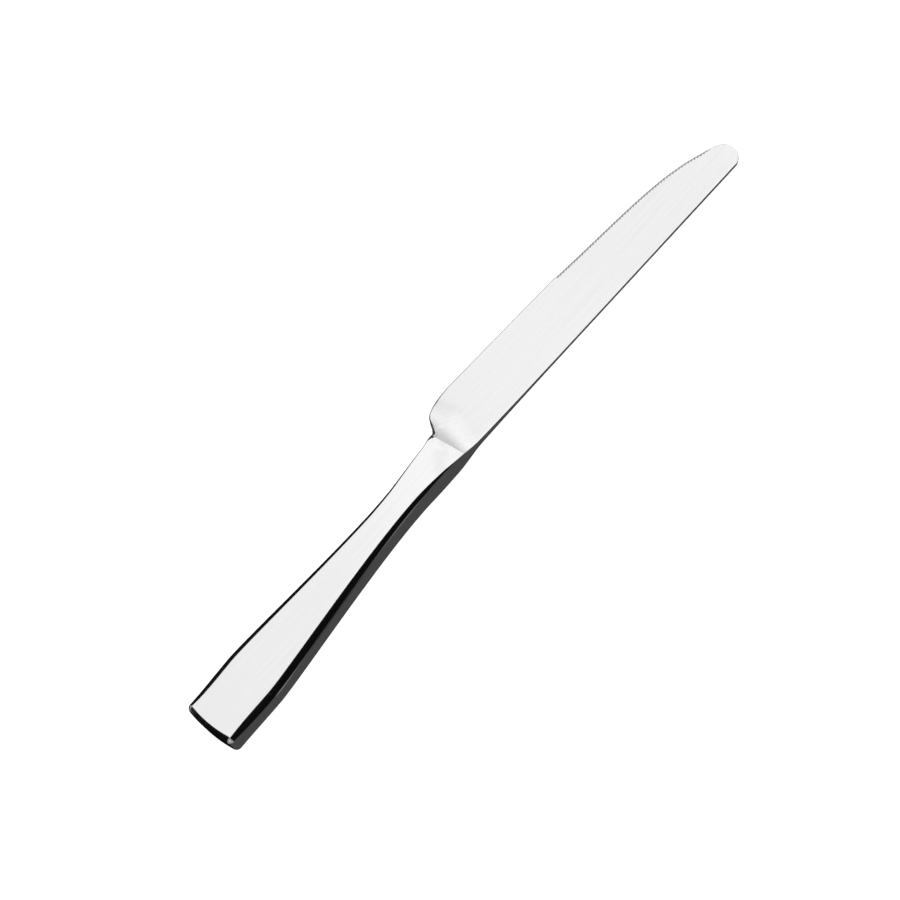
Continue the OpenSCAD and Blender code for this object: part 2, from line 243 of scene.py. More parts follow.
@dataclass(frozen=True)
class FillerFinish:
    """Cast or flowed filler with grains of two shades: the braze in the seams, the cement round the tang."""

    name: str
    light: str
    dark: str
    metallic: float
    roughness: float
    # Sizes in millimetres
    grain_size: float
    grain_depth: float
    # Octaves of the grain's noise, and its values between which the tone changes
    grain_octaves: float = 4.0
    tone_range: tuple[float, float] = (0.4, 0.65)

    def make(self) -> Material:
        """Makes the material.

        Returns:
            A speckled surface with a fine grain in its bump.
        """
        material, tree, shader = new_material(self.name)
        shader.inputs["Metallic"].default_value = self.metallic
        shader.inputs["Roughness"].default_value = self.roughness
        place = add_node(tree, "ShaderNodeTexCoord", {}, {}).outputs["Object"]
        grain = add_node(tree, "ShaderNodeTexNoise", {}, {
            "Vector": place, "Scale": 1 / (self.grain_size * MM),
            "Detail": self.grain_octaves}).outputs["Fac"]
        colour_by(tree, grain, self.tone_range, (self.dark, self.light))
        bump = add_node(tree, "ShaderNodeBump", {}, {
            "Height": grain, "Strength": 1.0, "Distance": self.grain_depth * MM})
        tree.links.new(bump.outputs["Normal"], shader.inputs["Normal"])
        return material


# Mirror polished on a soft wheel: clear reflections, with faint lines along the handle. The lines of all
# three steels are coarser than real ones, so that they show at the distance of the camera
HANDLE_STEEL = SteelFinish(
    name="stainless_steel_mirror_polished", tint="#d8d8d9", shade="#d4d4d5", roughness=0.12,
    gloss_spread=0.015, line_spacing=0.5, line_length=22.0, line_depth=0.00007, ripple_size=9.0,
    ripple_depth=0.004)
# Glazed on a wheel dressed with fine emery: a softer gloss that blurs what the blade mirrors
BLADE_STEEL = SteelFinish(
    name="stainless_steel_glazed", tint="#dadadb", shade="#d4d4d5", roughness=0.21, gloss_spread=0.02,
    line_spacing=0.45, line_length=30.0, line_depth=0.0001, ripple_size=12.0, ripple_depth=0.003)
# Wet-ground bevel: a wheel that crosses the edge leaves it duller and greyer than the polished faces
GROUND_STEEL = SteelFinish(
    name="stainless_steel_wet_ground", tint="#e4e4e5", shade="#d6d6d8", roughness=0.8, gloss_spread=0.05,
    line_spacing=0.16, line_length=3.0, line_depth=0.0008, ripple_size=4.0, ripple_depth=0.001,
    line_turn=90.0, metallic=0.8)
# Silver brazing alloy, polished flush with the steel: a shade warmer and softer in its gloss
BRAZE = FillerFinish(
    name="silver_brazing_alloy", light="#d8d7d5", dark="#d3d2cf", metallic=1.0, roughness=0.13,
    grain_size=0.5, grain_depth=0.0006)
# Mineral-filled handle cement: dull, with pale grains of filler
CEMENT = FillerFinish(
    name="handle_cement", light="#b5aea2", dark="#867f75", metallic=0.0, roughness=0.85,
    grain_size=0.8, grain_depth=0.02)


def press_grid(bm: BMesh, sections: Sequence[Section]) -> None:
    """Adds a grid and presses each of its rows to a section.

    Args:
        bm: The mesh that gets the grid.
        sections: One list of points for each row, all of one length.
    """
    last_row, last_column = len(sections) - 1, len(sections[0]) - 1
    made = bmesh.ops.create_grid(bm, x_segments=last_column, y_segments=last_row, size=1.0)
    for vert in made["verts"]:
        row = round((vert.co.y + 1) / 2 * last_row)
        column = round((vert.co.x + 1) / 2 * last_column)
        vert.co = sections[row][column]


def on_circle(centre: Vector, radius: float, degrees: float) -> Vector:
    """Returns the point of a circle at an angle, which is counted from its first axis to its second."""
    angle = math.radians(degrees)
    return centre + radius * Vector((math.cos(angle), math.sin(angle)))


def arc(centre: Vector, radius: float, start: float, end: float, steps: int) -> list[Vector]:
    """Points on a circle arc.

    Args:
        centre: Its middle, in the two axes of a section or a plan.
        radius: Radius of the arc.
        start: First angle in degrees.
        end: Last angle in degrees.
        steps: Number of parts.

    Returns:
        The points, both ends included.
    """
    return [on_circle(centre, radius, mix(start, end, i / steps)) for i in range(steps + 1)]


def sharpen(bm: BMesh, degrees: float) -> None:
    """Shades a mesh smooth apart from its sharp edges.

    Args:
        bm: The mesh.
        degrees: How far the faces at an edge turn before it is sharp.
    """
    limit = math.radians(degrees)
    for face in bm.faces:
        face.smooth = True
    for edge in bm.edges:
        edge.smooth = len(edge.link_faces) == 2 and edge.calc_face_angle(0.0) < limit


def make_object(bm: BMesh, name: str, materials: Sequence[Material]) -> Object:
    """Turns a finished bmesh into an object of the scene.

    Args:
        bm: The mesh, which is freed.
        name: Name of the piece.
        materials: Its material slots in order.

    Returns:
        The object, at the origin.
    """
    mesh = bpy.data.meshes.new(name)
    bm.to_mesh(mesh)
    bm.free()
    for material in materials:
        mesh.materials.append(material)
    piece = bpy.data.objects.new(name, mesh)
    bpy.context.scene.collection.objects.link(piece)
    return piece


@dataclass(frozen=True)
class KnifePlace:
    """Where the knife lies in the frame, and the sizes that the frame gives, in millimetres."""

    origin: Vector
    blade_length: float
    half_thick: float

    @classmethod
    def from_frame(cls) -> "KnifePlace":
        """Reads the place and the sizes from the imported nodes.

        Returns:
            The joint, the spine line and the middle plane as the origin, with the blade's reach.
        """
        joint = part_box("bolster_braze")[1].x
        low, high = CAD_BOX
        middle = (low.z + high.z) / 2
        origin = Vector((joint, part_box("blade")[0].y, middle)) / MM
        return cls(origin, (high.x - joint) / MM, (high.z - middle) / MM)

    def at(self, x: float, y: float, z: float) -> Vector:
        """Returns a point given from the joint, the spine and the middle plane as a place in the frame."""
        return (self.origin + Vector((x, y, z))) * MM


@dataclass(frozen=True)
class Bolster:
    """The forged block where the handle's faces slope down to the blade. Sizes in millimetres."""

    joint_width: float = 11.0
    spine_drop: float = 1.5
    drop_length: float = 14.0
    crease_edge: float = 0.3
    crease_lead: float = 2.1
    ramp_length: float = 12.0
    ramp_spine: float = 6.0
    # Rounding of the faces in the inside corner between the neck and the heel, and its reach from the joint
    nook_round: float = 1.7
    nook_back: float = 2.0
    nook_front: float = 4.6

    def drop_at(self, x: float) -> float:
        """Returns how far the face has fallen along the spine at x."""
        start = self.crease_edge + self.crease_lead - self.drop_length
        return self.spine_drop * clamp((x - start) / self.drop_length) ** 2

    def crease_at(self, y: float) -> float:
        """Returns where the slope begins at a distance from the spine."""
        return self.crease_edge + self.crease_lead * (1 - y / self.joint_width)

    def height_left(self, x: float, y: float) -> float:
        """Returns the share of the block's height that is left at a place on the face."""
        ramp = mix(self.ramp_spine, self.ramp_length, min(1.0, y / self.joint_width))
        return clamp(1 - (x - self.crease_at(y)) / ramp) ** 2

    def nook_at(self, x: float) -> float:
        """Returns the further rounding of the edge side at x, near the inside corner."""
        share = clamp((x + self.nook_back) / (self.nook_back + self.nook_front))
        return self.nook_round * math.sin(math.pi * share) ** 2


@dataclass(frozen=True)
class HandleAxis:
    """The narrow waist behind the joint, and the axis that the handle follows from there, in millimetres."""

    waist_back: float = 17.4
    waist_width: float = 9.0
    waist_offset: float = 0.3
    # Turn of the axis in degrees
    rake: float = 2.6

    def waist(self) -> Vector:
        """Returns the middle of the waist, from the joint and the spine."""
        return Vector((-self.waist_back, self.waist_width / 2 - self.waist_offset))

    def turn(self) -> float:
        """Returns the turn of the axis in radians."""
        return math.radians(self.rake)


@dataclass(frozen=True)
class Station:
    """One place along the blade, in millimetres."""

    x: float
    edge: float
    spine: float
    # Share of the crease's slant that the section follows
    slant: float = 0.0
    # Distance along the toothed belly, or None where the edge is plain
    run: float | None = None
    # Slope of the belly in radians
    lean: float = 0.0
    # Share of the bevel that is ground
    ground: float = 1.0


@dataclass
class Blade:
    """The forged blade with its bolster slope, ground teeth, plug and tang. Sizes in millimetres."""

    place: KnifePlace
    bolster: Bolster
    axis: HandleAxis
    heel_width: float = 18.83
    heel_length: float = 14.6
    # Where the curve of the heel is pulled, as shares of its length and its rise
    heel_pull: float = 0.25
    heel_rise: float = 0.24
    heel_back: float = 0.1
    belly_width: float = 17.6
    belly_lead: float = 26.5
    belly_trail: float = 14.0
    taper_slope: float = 0.09
    tip_radius: float = 4.6
    tip_sink: float = 0.15
    # Angles on the tip's circle in degrees, where the belly meets it and where the rows end
    tip_meet: float = 62.0
    tip_end: float = 1.0
    heel_thick: float = 2.9
    tip_thick: float = 0.9
    tip_thinning: float = 0.5
    edge_thick: float = 0.4
    taper_power: float = 7.0
    # Roundings of the corners along the spine and the edge, on the blade and on the bolster
    spine_corner: float = 0.12
    edge_corner: float = 0.16
    joint_spine_corner: float = 0.21
    joint_edge_corner: float = 0.3
    # How far the softened edge reaches onto the face at the heel, past it and round the tip
    heel_reach: float = 0.5
    edge_reach: float = 0.22
    tip_reach: float = 0.42
    # How much wider the rounding of the nook is on the heel than on the neck, and how soon it is that wide
    nook_gain: float = 1.3
    nook_gain_length: float = 1.5
    # Largest roundings, as shares of a section's thickness and width
    edge_round_thick: float = 0.45
    edge_round_width: float = 0.2
    spine_round_thick: float = 0.8
    corner_width: float = 0.125
    crease_round: float = 0.2
    teeth_start: float = 54.6
    tooth_pitch: float = 1.0
    tooth_depth: float = 0.12
    tooth_radius: float = 0.6
    bevel_width: float = 0.6
    bevel_edge: float = 0.12
    bevel_fade: float = 5.0
    least_edge: float = 0.03
    # Least cosine of the belly's slope, and the largest share of the width that a groove takes
    least_cosine: float = 0.3
    groove_width: float = 0.25
    # A face counts as ground when it is cut this deep, this far from the edge
    least_cut: float = 0.012
    edge_margin: float = 0.05
    # Strip of close points along the edge: its width, and its limits by the reach of the edge and the width
    fine_width: float = 1.7
    fine_reaches: float = 1.5
    fine_share: float = 0.35
    # Faces that turn further than this many degrees meet in a sharp edge
    sharp_turn: float = 22.0
    # Counts of rows and points, and how the rows crowd together at the crease and at the tip
    heel_crowding: float = 1.2
    tip_crowding: float = 0.8
    heel_rows: int = 64
    plain_rows: int = 30
    rows_per_tooth: int = 10
    tip_rows: int = 26
    fine_points: int = 14
    face_points: int = 14
    corner_points: int = 5
    # Steps that measure the belly, smaller steps in each of them, and halvings that find a place on the heel
    run_steps: int = 400
    small_steps: int = 12
    halvings: int = 40

    def __post_init__(self) -> None:
        """Works out the curves of the outline."""
        joint = self.bolster.joint_width
        slope = (self.belly_width - self.heel_width) / (self.teeth_start - self.heel_length)
        tip_x = self.place.blade_length - self.tip_radius
        self.tip_middle = Vector((tip_x, self.tip_radius - self.tip_sink))
        belly_end = on_circle(self.tip_middle, self.tip_radius, self.tip_meet)
        tip_slope = 1 / math.tan(math.radians(self.tip_meet))
        back, lead = self.heel_back * self.heel_length, self.belly_lead
        self.heel_curve = [
            Vector((0.0, joint)),
            Vector((self.heel_pull * self.heel_length, mix(joint, self.heel_width, self.heel_rise))),
            Vector((back, self.heel_width - slope * (self.heel_length - back))),
            Vector((self.heel_length, self.heel_width))]
        self.belly_curve = [
            Vector((self.teeth_start, self.belly_width)),
            Vector((self.teeth_start + lead, self.belly_width - self.taper_slope * lead)),
            belly_end + self.belly_trail * Vector((-1.0, tip_slope)),
            belly_end]
        self.belly_run = self.belly_samples(self.run_steps)[-1][0]
        self.last_tooth = math.floor((self.belly_run - self.tooth_pitch) / self.tooth_pitch)

    def spine_at(self, x: float) -> float:
        """Rise of the spine round the tip.

        Args:
            x: Distance from the joint.

        Returns:
            How far the spine has risen there, which is nothing before the tip.
        """
        past = x - self.tip_middle.x
        if past <= 0:
            return 0.0
        return max(0.0, self.tip_middle.y - math.sqrt(max(0.0, self.tip_radius**2 - past**2)))

    def belly_samples(self, count: int) -> list[tuple[float, Vector, float]]:
        """Even steps along the toothed belly.

        Args:
            count: Number of steps.

        Returns:
            For each step its distance along the curve, its point and its slope in radians.
        """
        dense = self.small_steps * count
        points = [bezier(self.belly_curve, i / dense) for i in range(dense + 1)]
        runs = [0.0]
        for a, b in zip(points, points[1:]):
            runs.append(runs[-1] + (b - a).length)
        samples = []
        place = 0
        for i in range(count + 1):
            goal = runs[-1] * i / count
            while place < dense - 1 and runs[place + 1] < goal:
                place += 1
            along = points[place + 1] - points[place]
            share = (goal - runs[place]) / along.length
            samples.append((goal, points[place] + along * share, math.atan2(along.y, along.x)))
        return samples

    def heel_place(self, past: float) -> float:
        """Place on the heel curve at a distance from the crease.

        Args:
            past: Distance along the knife past the crease, in millimetres.

        Returns:
            The curve's parameter, from 0 to 1.
        """
        low, high = 0.0, 1.0
        for _ in range(self.halvings):
            middle = (low + high) / 2
            point = bezier(self.heel_curve, middle)
            if point.x - self.bolster.crease_at(point.y) < past:
                low = middle
            else:
                high = middle
        return high

    def heel_stations(self) -> list[Station]:
        """Stations of the heel.

        Returns:
            The stations from the joint to the widest point, with one that lies along the crease.
        """
        start, crease, end = (self.heel_place(d * self.crease_round) for d in (-1, 0, 1))
        steps = [(i / self.heel_rows) ** self.heel_crowding for i in range(self.heel_rows + 1)]
        shares = [start, crease] + [mix(end, 1.0, step) for step in steps]
        crease_x = bezier(self.heel_curve, crease).x
        rows = [Station(0.0, self.bolster.joint_width, 0.0)]
        for share in shares:
            point = bezier(self.heel_curve, share)
            slant = clamp((self.heel_length - point.x) / (self.heel_length - crease_x))
            rows.append(Station(point.x, point.y, 0.0, slant))
        return rows

    def stations(self) -> list[Station]:
        """Stations of the whole blade.

        Returns:
            The stations from the joint to the tip.
        """
        rows = self.heel_stations()
        heel, start = self.heel_curve[3], self.belly_curve[0]
        for i in range(1, self.plain_rows + 1):
            point = heel.lerp(start, i / self.plain_rows)
            rows.append(Station(point.x, point.y, 0.0))
        teeth = round(self.belly_run / self.tooth_pitch)
        for run, point, lean in self.belly_samples(teeth * self.rows_per_tooth)[1:]:
            ground = clamp(min(run / self.tooth_pitch, (self.belly_run - run) / self.bevel_fade))
            rows.append(Station(point.x, point.y, self.spine_at(point.x), 0.0, run, lean, ground))
        for i in range(1, self.tip_rows + 1):
            angle = mix(self.tip_meet, self.tip_end, (i / self.tip_rows) ** self.tip_crowding)
            point = on_circle(self.tip_middle, self.tip_radius, angle)
            rows.append(Station(point.x, point.y, self.spine_at(point.x)))
        return rows

    def face_half(self, x: float, y: float, edge: float) -> float:
        """Half thickness of the blade before its edge is ground.

        Args:
            x: Distance from the joint.
            y: Distance from the spine.
            edge: Width of the blade there.

        Returns:
            The height of the face above the middle plane.
        """
        taper = clamp(1 - x / self.place.blade_length) ** self.taper_power
        past_tip = clamp((x - self.tip_middle.x) / self.tip_radius)
        spine_half = mix(self.tip_thick, self.heel_thick, taper) / 2 * mix(1.0, self.tip_thinning, past_tip)
        wedge = mix(spine_half, self.edge_thick / 2, y / edge)
        near_spine = 1 - min(1.0, y / self.bolster.joint_width)
        block = self.place.half_thick - self.bolster.drop_at(x) * near_spine
        return mix(wedge, block, self.bolster.height_left(x, y))

    def groove(self, run: float) -> float:
        """Depth of the groove between two teeth.

        Args:
            run: Distance along the belly.

        Returns:
            The depth there, which is nothing on a tooth's tip.
        """
        nearest = clamp(round(run / self.tooth_pitch), 1, self.last_tooth) * self.tooth_pitch
        off = abs(run - nearest)
        if off >= self.tooth_radius:
            return 0.0
        return max(0.0, self.tooth_depth - self.tooth_radius + math.sqrt(self.tooth_radius**2 - off**2))

    def edge_rounding(self, x: float, edge: float) -> float:
        """Returns the rounding wanted along the edge at x, before the blade's thinness limits it."""
        plain = mix(self.edge_corner, self.joint_edge_corner, self.bolster.height_left(x, edge))
        return plain + self.bolster.nook_at(x) * mix(1.0, self.nook_gain, clamp(x / self.nook_gain_length))

    def edge_softness(self, station: Station) -> float:
        """How far the softened edge reaches onto the face.

        Args:
            station: Place along the blade.

        Returns:
            The reach, which is nothing where the edge is ground.
        """
        if station.run is not None:
            return 0.0
        if station.x > self.tip_middle.x:
            return mix(self.edge_corner, self.tip_reach, clamp(station.x - self.belly_curve[3].x))
        return mix(self.heel_reach, self.edge_reach, clamp(station.x / self.heel_length))

    def mark_zones(self, bm: BMesh, rows: Sequence[Station]) -> None:
        """Gives the handle's finish to the bolster behind its crease, and the ground finish to the bevel.

        Args:
            bm: The blade's mesh.
            rows: Its stations.
        """
        for face in bm.faces:
            middle = face.calc_center_median() / MM - self.place.origin
            if 0 < middle.x < self.bolster.crease_at(middle.y):
                face.material_index = Zone.BOLSTER.value
            if face.normal.z <= 0 or middle.x < self.teeth_start:
                continue
            edge = self.edge_at(rows, middle.x)
            cut = self.face_half(middle.x, middle.y, edge) - middle.z
            if cut > self.least_cut and self.edge_margin < edge - middle.y < self.fine_width:
                face.material_index = Zone.GROUND.value

    def edge_at(self, rows: Sequence[Station], x: float) -> float:
        """Width of the blade, found between two stations.

        Args:
            rows: The stations.
            x: Distance from the joint.

        Returns:
            The distance of the edge from the spine line.
        """
        index = min(bisect.bisect_left(rows, x, key=lambda row: row.x), len(rows) - 1)
        a, b = rows[max(0, index - 1)], rows[index]
        return mix(a.edge, b.edge, clamp((x - a.x) / max(LEAST_STEP, b.x - a.x)))

    def build(self) -> Object:
        """Makes the blade, with its plug and tang behind it, as closed bodies in one mesh.

        Returns:
            The piece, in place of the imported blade.
        """
        rows = self.stations()
        bm = bmesh.new()
        press_grid(bm, [BladeSection(self, station).ring() for station in rows])
        Tang(self.place, self.axis).add(bm)
        bmesh.ops.remove_doubles(bm, verts=bm.verts, dist=MERGE_DISTANCE)
        bmesh.ops.holes_fill(bm, edges=[e for e in bm.edges if e.is_boundary], sides=0)
        bmesh.ops.recalc_face_normals(bm, faces=bm.faces)
        self.mark_zones(bm, rows)
        sharpen(bm, self.sharp_turn)
        finishes = (BLADE_STEEL, GROUND_STEEL, HANDLE_STEEL)
        piece = make_object(bm, "toothed_blade", [finish.make() for finish in finishes])
        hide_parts("blade")
        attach(piece, "root")
        return piece


@dataclass
class BladeSection:
    """One cut across the blade, at a station. Sizes in millimetres."""

    blade: Blade
    station: Station

    def __post_init__(self) -> None:
        """Works out the edge, its rounding and how far that reaches onto the face."""
        blade, station = self.blade, self.station
        self.edge = station.edge
        self.width = station.edge - station.spine
        self.low = self.face(station.edge)
        self.rim = self.thick = 2 * self.low
        self.steep, self.cosine = 0.0, 1.0
        if station.run is not None:
            self.grind(station.run)
        self.top = self.thick - self.low
        self.edge_round = min(
            blade.edge_rounding(station.x, station.edge), blade.edge_round_thick * self.thick,
            blade.edge_round_width * self.width)
        self.reach = max(self.edge_round, min(blade.edge_softness(station), blade.corner_width * self.width))

    def x_at(self, y: float) -> float:
        """Returns how far along the knife the cut is at y, as it slants with the crease near the joint."""
        crease_at = self.blade.bolster.crease_at
        return self.station.x + self.station.slant * (crease_at(y) - crease_at(self.station.edge))

    def face(self, y: float) -> float:
        """Returns the half thickness at y before the edge is ground."""
        return self.blade.face_half(self.x_at(y), y, self.station.edge)

    def groove_at(self, run: float) -> float:
        """Returns the height that a groove takes off the bevel at a distance along the belly."""
        return self.station.ground * self.blade.groove(run) * math.hypot(1.0, self.steep)

    def grind(self, run: float) -> None:
        """Grinds the bevel, which thins the edge and cuts it back in the grooves.

        Args:
            run: Distance along the belly.
        """
        blade = self.blade
        self.cosine = max(blade.least_cosine, math.cos(self.station.lean))
        fall = self.face(self.edge - blade.bevel_width) + self.low - blade.bevel_edge
        self.steep = fall / blade.bevel_width
        depth = self.groove_at(run)
        self.rim = mix(2 * self.low, blade.bevel_edge, self.station.ground)
        self.thick = max(blade.least_edge, self.rim - depth)
        retreat = max(0.0, depth + blade.least_edge - self.rim) / (self.steep * self.cosine)
        self.edge -= min(retreat, blade.groove_width * self.width)

    def height(self, y: float) -> float:
        """Height of the obverse face, with the bevel and its teeth.

        Args:
            y: Distance from the spine.

        Returns:
            The height above the middle plane.
        """
        if self.station.run is None:
            return self.face(y)
        inset = self.station.edge - y
        foot = self.station.run + inset * abs(math.sin(self.station.lean))
        plane = self.rim - self.low + inset * self.cosine * self.steep
        return max(self.top, min(self.face(y), plane - self.groove_at(foot)))

    def ring(self) -> Section:
        """Closed ring of points round the blade.

        Returns:
            Points in the frame, from the edge over the obverse face, the spine and the reverse face.
        """
        blade, spine, edge_round = self.blade, self.station.spine, self.edge_round
        spine_half = self.face(spine)
        spine_left = blade.bolster.height_left(self.x_at(spine), spine)
        spine_round = min(
            mix(blade.spine_corner, blade.joint_spine_corner, spine_left),
            blade.spine_round_thick * spine_half, blade.corner_width * self.width)
        start, face_end = self.edge - self.reach, spine + spine_round
        strip = max(blade.fine_width, blade.fine_reaches * self.reach)
        fine_end = self.edge - min(strip, blade.fine_share * self.width)
        across = [mix(start, fine_end, i / blade.fine_points) for i in range(1, blade.fine_points)]
        across += [mix(fine_end, face_end, i / blade.face_points) for i in range(blade.face_points)]
        steps = blade.corner_points
        points = arc(Vector((0.0, edge_round - self.low)), edge_round, -90, 0, steps)
        points += arc(Vector((0.0, self.top - edge_round)), edge_round, 0, 90, steps)
        points = [Vector((start + p.x * self.reach / edge_round, p.y)) for p in points]
        points += [Vector((y, self.height(y))) for y in across]
        points += arc(Vector((face_end, spine_half - spine_round)), spine_round, 90, 180, steps)
        points += arc(Vector((face_end, spine_round - spine_half)), spine_round, 180, 270, steps)
        points += [Vector((y, -self.face(y))) for y in reversed(across)]
        points.append(points[0].copy())
        return [blade.place.at(self.x_at(p.x), p.x, p.y) for p in points]


@dataclass(frozen=True)
class Tang:
    """The plug and the notched tang behind the bolster. Sizes in millimetres."""

    place: KnifePlace
    axis: HandleAxis
    plug_length: float = 6.0
    plug_spine: float = 0.95
    plug_edge: float = 8.8
    plug_half: float = 1.72
    # How far the plug reaches into the bolster
    root_depth: float = 0.5
    # Ends of the tang along the axis, from the waist
    front: float = 12.4
    back: float = -28.6
    front_half: float = 2.4
    back_half: float = 1.6
    thick_half: float = 1.2
    notch_radius: float = 0.8
    notch_depth: float = 0.48
    notch_pitch: float = 7.0
    notch_start: float = 5.0
    notch_count: int = 4
    rows: int = 160

    def half_width(self, x: float) -> float:
        """Half the width of the tang, less its notches.

        Args:
            x: Distance from the waist of the handle.

        Returns:
            The half width there.
        """
        width = mix(self.back_half, self.front_half, (x - self.back) / (self.front - self.back))
        for i in range(self.notch_count):
            off = abs(x - self.back - self.notch_start - i * self.notch_pitch)
            if off < self.notch_radius:
                sink = math.sqrt(self.notch_radius**2 - off**2) - self.notch_radius + self.notch_depth
                width -= max(0.0, sink)
        return width

    def ring(self, x: float, low: float, high: float, half: float) -> list[Vector]:
        """Returns a closed rectangle square to X, from the low to the high side."""
        corners = [(low, -half), (high, -half), (high, half), (low, half), (low, -half)]
        return [Vector((x, y, z)) for y, z in corners]

    def add(self, bm: BMesh) -> None:
        """Adds the plug and the tang as two closed blocks.

        Args:
            bm: The blade's mesh.
        """
        plug = [self.ring(x, self.plug_spine, self.plug_edge, self.plug_half)
                for x in (-self.plug_length, self.root_depth)]
        turn = Matrix.Rotation(self.axis.turn(), 3, "Z")
        waist = self.axis.waist().to_3d()
        tang = []
        for i in range(self.rows + 1):
            x = mix(self.back, self.front, i / self.rows)
            half = self.half_width(x)
            tang.append([waist + turn @ p for p in self.ring(x, -half, half, self.thick_half)])
        for rows in (plug, tang):
            press_grid(bm, [[self.place.at(*p) for p in row] for row in rows])


@dataclass(frozen=True)
class RimPoint:
    """One point of the handle's plan outline, in millimetres, and its share of the butt's end."""

    place: Vector
    end_share: float = 0.0


@dataclass
class HandleShell:
    """One pressed half of the hollow handle. Sizes in millimetres."""

    place: KnifePlace
    bolster: Bolster
    axis: HandleAxis
    side: Side
    handle_length: float = 97.0
    joint_gap: float = 0.12
    neck_width: float = 10.3
    neck_flare: float = 4.4
    # Where the curve of the neck's flare is pulled, as shares of its length and its rise
    flare_pull: float = 0.27
    flare_fall: float = 0.6
    flare_back: float = 0.55
    flare_length: float = 62.0
    flare_lead: float = 19.0
    flare_trail: float = 8.0
    butt_width: float = 18.5
    butt_ease: float = 0.55
    butt_bulge: float = 1.0
    shoulder_neck: float = 0.7
    shoulder_fade: float = 0.3
    shoulder_edge: float = 0.3
    shoulder_butt: float = 2.2
    shoulder_end: float = 1.3
    # How much rounder polishing leaves the shoulder along the spine, at the neck and at the butt
    neck_softening: float = 1.7
    butt_softening: float = 1.17
    # Distance behind the joint over which that begins
    softening_length: float = 4.0
    # What polishing adds to the shoulder along the edge side, from one distance behind the joint to another
    edge_softening: float = 0.62
    edge_soft_start: float = 8.0
    edge_soft_end: float = 26.0
    # What polishing adds to the shoulder of the butt's end
    end_softening: float = 0.28
    face_corner: float = 0.35
    wall: float = 0.9
    # Least rounding of the inner skin
    least_round: float = 0.15
    seam_gap: float = 0.16
    # Faces that turn further than this many degrees meet in a sharp edge
    sharp_turn: float = 30.0
    # Counts of rows and points
    flare_rows: int = 20
    neck_rows: int = 8
    side_rows: int = 60
    ease_rows: int = 10
    corner_rows: int = 14
    end_rows: int = 10
    wall_points: int = 3
    shoulder_points: int = 10
    face_points: int = 12

    def neck_edge(self, x: float) -> float:
        """Returns the edge side of the straight neck at x."""
        axis = self.axis
        return mix(self.neck_width, axis.waist_width - axis.waist_offset, -x / axis.waist_back)

    def neck_spine(self, x: float) -> float:
        """Spine side of the neck.

        Args:
            x: Distance from the joint.

        Returns:
            The distance from the spine line.
        """
        axis = self.axis
        pull = axis.waist_back / 3 * math.tan(axis.turn()) - axis.waist_offset
        heights = [Vector((0.0, h)) for h in (0.0, 0.0, pull, -axis.waist_offset)]
        return bezier(heights, -x / axis.waist_back).y

    def front(self) -> list[Vector]:
        """Edge side of the neck.

        Returns:
            Points of distance and width, from the joint to the waist.
        """
        reach, joint = self.neck_flare, self.bolster.joint_width
        pull, back = -reach * self.flare_pull, -reach * self.flare_back
        flare = [
            Vector((-self.joint_gap, joint)),
            Vector((pull, mix(joint, self.neck_edge(pull), self.flare_fall))),
            Vector((back, self.neck_edge(back))),
            Vector((-reach, self.neck_edge(-reach)))]
        points = [bezier(flare, i / self.flare_rows) for i in range(self.flare_rows + 1)]
        for i in range(1, self.neck_rows + 1):
            x = mix(-reach, -self.axis.waist_back, i / (self.neck_rows + 1))
            points.append(Vector((x, self.neck_edge(x))))
        return points

    def rear(self) -> list[tuple[Vector, float]]:
        """Half outline behind the waist, along the axis of the handle.

        Returns:
            Pairs of a point, as distance along the axis and half width, and its share of the butt's end.
        """
        half, waist = self.butt_width / 2, self.axis.waist_width / 2
        length = (self.handle_length - self.axis.waist_back) / math.cos(self.axis.turn())
        end_radius = (half**2 + self.butt_bulge**2) / (2 * self.butt_bulge)
        corner = self.shoulder_end + self.face_corner
        ease = math.atan(2 * self.butt_ease / (length - self.flare_length - corner))
        out = half - self.butt_ease - corner * math.cos(ease)
        middle = length - end_radius
        along = middle + math.sqrt((end_radius - corner) ** 2 - out**2)
        turn = math.degrees(math.atan2(out, along - middle))
        side = [
            Vector((0.0, waist)), Vector((self.flare_lead, waist)),
            Vector((self.flare_length - self.flare_trail, half)), Vector((self.flare_length, half))]
        points = [(bezier(side, i / self.side_rows), 0.0) for i in range(self.side_rows + 1)]
        ease_end = along + corner * math.sin(ease)
        for i in range(1, self.ease_rows):
            t = i / self.ease_rows
            point = Vector((mix(self.flare_length, ease_end, t), half - self.butt_ease * t * t))
            points.append((point, t**3))
        round_end = arc(Vector((along, out)), corner, 90 - math.degrees(ease), turn, self.corner_rows)
        round_end += arc(Vector((middle, 0.0)), end_radius, turn, 0.0, self.end_rows)[1:]
        return points + [(point, 1.0) for point in round_end]

    def outline(self) -> list[RimPoint]:
        """Plan outline of the handle.

        Returns:
            Points from the joint along the edge side, round the butt and back along the spine side.
        """
        turn, waist = self.axis.turn(), self.axis.waist()
        back = Vector((-math.cos(turn), -math.sin(turn)))
        across = Vector((-math.sin(turn), math.cos(turn)))
        front, rear = self.front(), self.rear()
        edge_side = [RimPoint(p) for p in front]
        edge_side += [RimPoint(waist + back * p.x + across * p.y, share) for p, share in rear]
        spine_side = [RimPoint(Vector((p.x, self.neck_spine(p.x)))) for p in front]
        spine_side += [RimPoint(waist + back * p.x - across * p.y, share) for p, share in rear[:-1]]
        return edge_side + spine_side[::-1]

